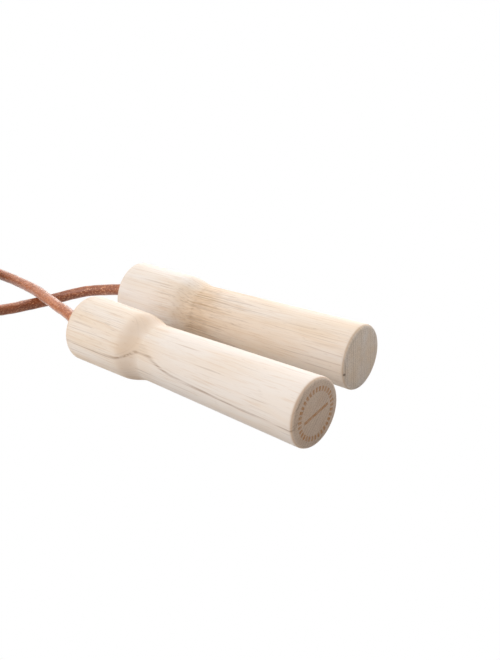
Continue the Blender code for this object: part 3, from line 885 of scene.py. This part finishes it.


# How each handle was cut from its board: the growth layers' lean about the axis, in degrees up from
# level on the near side; the layer at the axis; a swirl in the grain at the neck and the run of the
# grain along the handle; the tint of the end grain; and the warmth and the strength of the streaks,
# each on the grip, on the head, and how much more at the neck. The warmth is partly painted light:
# its swell at the neck is painted shade in the neck's hollow, and on the heads it paints the near
# one darker and the far one paler.
BOARDS = {
    "near": {
        "lean": 42.4, "layer": -12.0 * MM, "swirl": -2.6 * MM, "run": 0.012, "end_tint": 0.85,
        "warmth_and_painted_light": (-0.35, 0.1, 0.6), "liveliness": (0.0, 0.005, 0.01),
    },
    "far": {
        "lean": -5.0, "layer": 95.0 * MM, "swirl": -0.8 * MM, "run": 0.004, "end_tint": 0.0,
        "warmth_and_painted_light": (0.2, -0.2, 0.6), "liveliness": (0.015, -0.02, 0.075),
    },
}
# The second width is that of the painted shade at the neck
SWIRL_WIDTH, NECK_SHADE_WIDTH, LIVELY_WIDTH = 14 * MM, 12 * MM, 25 * MM  # at the neck


def grain_of(local, normals, board, sizes):
    """For each point: how squarely the fibres are cut there, its depth across the growth layers,
    which is its distance along their normal with a slow run and a swirl at the neck, and its place
    along them."""
    lean = math.radians(board["lean"])
    from_neck = local[:, 0] - (sizes.head_length + sizes.shoulder_length + SWIRL_STEP)
    depth = -local[:, 1] * math.cos(lean) + local[:, 2] * math.sin(lean) + board["layer"]
    depth += board["swirl"] * np.exp(-((from_neck / SWIRL_WIDTH) ** 2))
    depth += board["run"] * from_neck
    across = local[:, 1] * math.sin(lean) + local[:, 2] * math.cos(lean)
    return np.column_stack([np.abs(normals[:, 0]), depth, across])


def board_of(local, board, sizes):
    """For each point: its warmth and the strength of its streaks, which both change over the
    shoulder and swell at the neck, and the strength of the end grain's tint. The warmth is partly
    painted light, and its swell at the neck is painted shade."""
    from_neck = sizes.head_length + sizes.shoulder_length - local[:, 0]
    share = np.clip(from_neck / sizes.shoulder_length, 0, 1)
    columns = []
    for what, width in (("warmth_and_painted_light", NECK_SHADE_WIDTH), ("liveliness", LIVELY_WIDTH)):
        grip, head, neck = board[what]
        swell = np.exp(-((from_neck / width) ** 2))
        columns.append(grip + (head - grip) * share + neck * swell)
    return np.column_stack([*columns, np.full(len(local), board["end_tint"])])


class JUMPROPE_OT_handles(Operator):
    """Turn the two maple handles"""

    bl_idname = "jumprope.handles"
    bl_label = "Handles"

    def execute(self, context):
        sizes = context.scene.jump_rope_handle
        colours = palette(context)
        for side, board in BOARDS.items():
            name = {"near": "marked_maple", "far": "sanded_maple"}[side]
            maple = kept(name, lambda: sanded_maple(name, colours, side == "near"))
            origin, axes = handle_frame(side, sizes.length)
            thing = turned(
                side + "_maple_handle", handle_outline(sizes), HANDLE_SIDES, (origin, axes),
            )
            normals, points = np.empty((2, len(thing.data.vertices), 3), np.float32)
            thing.data.vertices.foreach_get("normal", normals.ravel())
            thing.data.vertices.foreach_get("co", points.ravel())
            local = (points - origin) @ axes.T
            set_attributes(thing.data, {
                "stock": local + (0.0, 0.0, STOCK_STEP * SIDES.index(side)),
                "grain": grain_of(local, normals @ axes.T, board, sizes),
                "board": board_of(local, board, sizes),
            })
            settle(thing, maple, side + "_grip", "turned_wood", side + "_handle")
        return {"FINISHED"}


# ---- the bearings


def cover_outline():
    """The cover's flat flange, and the skirt that goes into the bore and holds the outer ring."""
    return np.array([
        (COVER_FRONT, COVER_BORE), (COVER_FRONT, COVER_RADIUS), (COVER_BACK, COVER_RADIUS),
        (COVER_BACK, BEARING_RADIUS), (SKIRT_END, BEARING_RADIUS), (SKIRT_END, SKIRT_INSIDE),
        (COVER_BACK, SKIRT_INSIDE), (COVER_BACK, COVER_BORE),
    ])


def groove(land, side):
    """The ball groove in a ring's land: side is 1 in the outer ring and -1 in the inner."""
    reach = math.degrees(math.acos(abs(land - PITCH_RADIUS) / GROOVE_RADIUS))
    return arc(
        BEARING_MIDDLE, PITCH_RADIUS, GROOVE_RADIUS, side * (90 + reach), side * (90 - reach), 12,
    )


def inner_ring_outline():
    """The inner ring's bore, then its outside with the groove."""
    return np.vstack([
        [(BEARING_BACK, INNER_BORE), (BEARING_FRONT, INNER_BORE), (BEARING_FRONT, INNER_OUTSIDE)],
        groove(INNER_OUTSIDE, -1),
        [(BEARING_BACK, INNER_OUTSIDE)],
    ])


def outer_ring_outline():
    """The outer ring, with its groove, and a step at each end that seats a shield."""
    front, back = BEARING_FRONT + SHIELD_STEP, BEARING_BACK - SHIELD_STEP
    return np.vstack([
        [
            (BEARING_BACK, BEARING_RADIUS), (BEARING_FRONT, BEARING_RADIUS),
            (BEARING_FRONT, SHIELD_SEAT), (front, SHIELD_SEAT), (front, OUTER_INSIDE),
        ],
        groove(OUTER_INSIDE, 1),
        [(back, OUTER_INSIDE), (back, SHIELD_SEAT), (BEARING_BACK, SHIELD_SEAT)],
    ])


def ferrule_outline():
    """Rolled lip in front of the inner ring, barrel, flange behind the washer, and a tail with two
    crimps, each a shallow valley of half a cosine."""
    tail = np.linspace(FLANGE_BACK, FERRULE_BACK, 40)
    depth = np.zeros_like(tail)
    for share in CRIMP_PLACES:
        away = (tail - FLANGE_BACK - share * (FERRULE_BACK - FLANGE_BACK)) / CRIMP_HALF_WIDTH
        depth += np.where(np.abs(away) < 1, CRIMP_DEPTH / 2 * (1 + np.cos(math.pi * away)), 0.0)
    return np.vstack([
        [
            (FERRULE_BACK, FERRULE_BORE), (LIP_FRONT, FERRULE_BORE), (LIP_FRONT, FLANGE_RADIUS),
            (LIP_BACK, FLANGE_RADIUS), (LIP_BACK, FERRULE_RADIUS), (FLANGE_FRONT, FERRULE_RADIUS),
            (FLANGE_FRONT, FLANGE_RADIUS), (FLANGE_BACK, FLANGE_RADIUS),
        ],
        np.column_stack([tail, FERRULE_RADIUS - depth]),
    ])


def ball_mesh(name, place, angle):
    """A bearing ball: a half circle of points turned about a line through its middle."""
    angles = np.linspace(0, math.pi, 17)
    outline = BALL_RADIUS * np.column_stack([-np.cos(angles), np.sin(angles)])
    outline += (BEARING_MIDDLE, 0.0)
    outline[[0, -1], 1] = 0.0
    origin, axes = place
    out = PITCH_RADIUS * (math.cos(angle) * axes[2] - math.sin(angle) * axes[1])
    return turned(name, outline[::-1], BALL_SIDES, (origin + out, axes))


class JUMPROPE_OT_bearings(Operator):
    """Fit each head with its ball bearing, washer, ferrule and pressed cover"""

    bl_idname = "jumprope.bearings"
    bl_label = "Bearings"

    def execute(self, context):
        length = context.scene.jump_rope_handle.length
        colours = palette(context)
        nickel, steel, brass = (metal(name, colours) for name in METALS)
        front = BEARING_FRONT + SHIELD_INSET
        back = BEARING_BACK - SHIELD_INSET - SHIELD_THICKNESS
        inside, outside = INNER_OUTSIDE + SHIELD_CLEARANCE, SHIELD_SEAT - FIT_GAP
        outer_shield, inner_shield = (
            box_outline(face, face + SHIELD_THICKNESS, inside, outside) for face in (front, back)
        )
        washer = box_outline(
            BEARING_BACK + RUN_GAP, WASHER_BACK, FERRULE_RADIUS + RUN_GAP, FLANGE_RADIUS,
        )
        # Each piece's outline, the round of its edges in millimetres, and its metal, body and slot
        pieces = {
            "bearing_cover": (cover_outline(), 0.3, nickel, "grip", "plated_steel"),
            "bearing_outer_ring": (outer_ring_outline(), 0.2, steel, "grip", "bearing_steel"),
            "bearing_inner_ring": (inner_ring_outline(), 0.2, steel, "rope", "bearing_steel"),
            "bearing_outer_shield": (outer_shield, 0.1, nickel, "grip", "plated_steel"),
            "bearing_inner_shield": (inner_shield, 0.1, nickel, "grip", "plated_steel"),
            "thrust_washer": (washer, 0.12, brass, "rope", "brass"),
            "ferrule": (ferrule_outline(), 0.15, nickel, "rope", "plated_steel"),
        }
        for side in SIDES:
            place = handle_frame(side, length)
            for part, (outline, edge, finish, body, slot) in pieces.items():
                outline = eased(outline, edge * MM)
                thing = turned(f"{side}_{part}_turned", outline, RING_SIDES, place)
                rides = body if body == "rope" else f"{side}_{body}"
                settle(thing, finish, rides, slot, f"{side}_{part}")
            cage = frame["nodes"][side + "_bearing_cage"]
            cage.data.materials.clear()
            cage.data.materials.append(brass)
            for number in range(BALL_COUNT):
                node = f"{side}_bearing_ball_{number + 1}"
                ball = ball_mesh(node + "_ground", place, math.tau * number / BALL_COUNT)
                settle(ball, steel, side + "_ball_set", "bearing_steel", node)
        return {"FINISHED"}


# ---- the stage


def soft_light(number, azimuth, elevation, power):
    """A sun as wide as a studio softbox, shining from an azimuth and elevation in degrees."""
    lamp = bpy.data.lights.new(f"softbox_{number}", "SUN")
    lamp.energy = power
    lamp.angle = math.radians(LIGHT_SPREAD)
    thing = bpy.data.objects.new(f"softbox_{number}", lamp)
    thing.rotation_euler = (math.radians(90 - elevation), 0.0, math.radians(azimuth + 90))
    bpy.context.scene.collection.objects.link(thing)


class JUMPROPE_OT_stage(Operator):
    """Set up the camera, a white floor and soft studio light"""

    bl_idname = "jumprope.stage"
    bl_label = "Stage"

    def execute(self, context):
        scene = context.scene
        lens = bpy.data.cameras.new("studio_camera")
        lens.lens = CAMERA_LENS
        lens.sensor_width = 36.0
        lens.clip_start = 0.01
        camera = bpy.data.objects.new("studio_camera", lens)
        camera.location = CAMERA_PLACE
        tilt, turn = math.radians(90 - CAMERA_ELEVATION), math.radians(CAMERA_AZIMUTH)
        camera.rotation_euler = (tilt, 0.0, turn)
        scene.collection.objects.link(camera)
        scene.camera = camera

        square = FLOOR_HALF * np.array([(-1, -1), (1, -1), (1, 1), (-1, 1)])
        points = np.column_stack([square, np.full(4, -FLOOR_DROP)])
        floor = shown("studio_floor", mesh_from("studio_floor", points, np.arange(4), [4]))
        # Overexposed: pure white to look at, while the light it throws back onto the object is grey
        white = (1.0, 1.0, 1.0, 1.0)
        made, tree, add, shader = new_finish(
            "studio_white", roughness=0.9, base_color=tuple(scene.jump_rope_finishes.floor),
        )
        glow = add("Emission", {"Color": white})
        diffuse = add("LightPath", out="Is Diffuse Ray")
        both = add("MixShader", {0: diffuse, 1: glow, 2: shader.outputs[0]})
        tree.links.new(both, tree.nodes["Material Output"].inputs["Surface"])
        floor.data.materials.append(made)

        for number, light in enumerate(LIGHTS):
            soft_light(number, *light)

        world = bpy.data.worlds.new("studio_air")
        world.use_nodes = True
        scene.world = world
        tree = world.node_tree
        add = partial(add_node, tree)
        diffuse = add("LightPath", out="Is Diffuse Ray")
        strength = add("Math", {0: 1.0, 1: diffuse}, operation="SUBTRACT")
        tree.links.new(strength, tree.nodes["Background"].inputs["Strength"])
        tree.nodes["Background"].inputs["Color"].default_value = white
        scene.view_settings.view_transform = "Standard"
        return {"FINISHED"}


# ---- the panel


class JUMPROPE_PT_panel(Panel):
    """Lists the jump rope's sizes, finishes and pieces"""

    bl_idname = "JUMPROPE_PT_panel"
    bl_label = "Jump Rope"
    bl_space_type = "VIEW_3D"
    bl_region_type = "UI"
    bl_category = "Jump Rope"

    def draw(self, context):
        layout = self.layout
        for kind in OPERATORS:
            layout.operator(kind.bl_idname)
        for title, group in GROUPS.items():
            box = layout.box()
            values = getattr(context.scene, title)
            for name in group.__annotations__:
                box.prop(values, name)


GROUPS = {
    "jump_rope_handle": JumpRopeHandleSizes,
    "jump_rope_cord": JumpRopeCordSizes,
    "jump_rope_finishes": JumpRopeFinishes,
}
OPERATORS = (
    JUMPROPE_OT_stage, JUMPROPE_OT_tie, JUMPROPE_OT_cord, JUMPROPE_OT_handles, JUMPROPE_OT_bearings,
)
CLASSES = (*GROUPS.values(), *OPERATORS, JUMPROPE_PT_panel)


def register():
    for kind in CLASSES:
        bpy.utils.register_class(kind)
    for title, group in GROUPS.items():
        setattr(bpy.types.Scene, title, PointerProperty(type=group))


def unregister():
    for title in GROUPS:
        delattr(bpy.types.Scene, title)
    for kind in reversed(CLASSES):
        bpy.utils.unregister_class(kind)


def main():
    """Make every piece in order."""
    register()
    bpy.ops.jumprope.stage()
    bpy.ops.jumprope.tie()
    bpy.ops.jumprope.cord()
    bpy.ops.jumprope.handles()
    bpy.ops.jumprope.bearings()


if __name__ == "__main__":
    main()
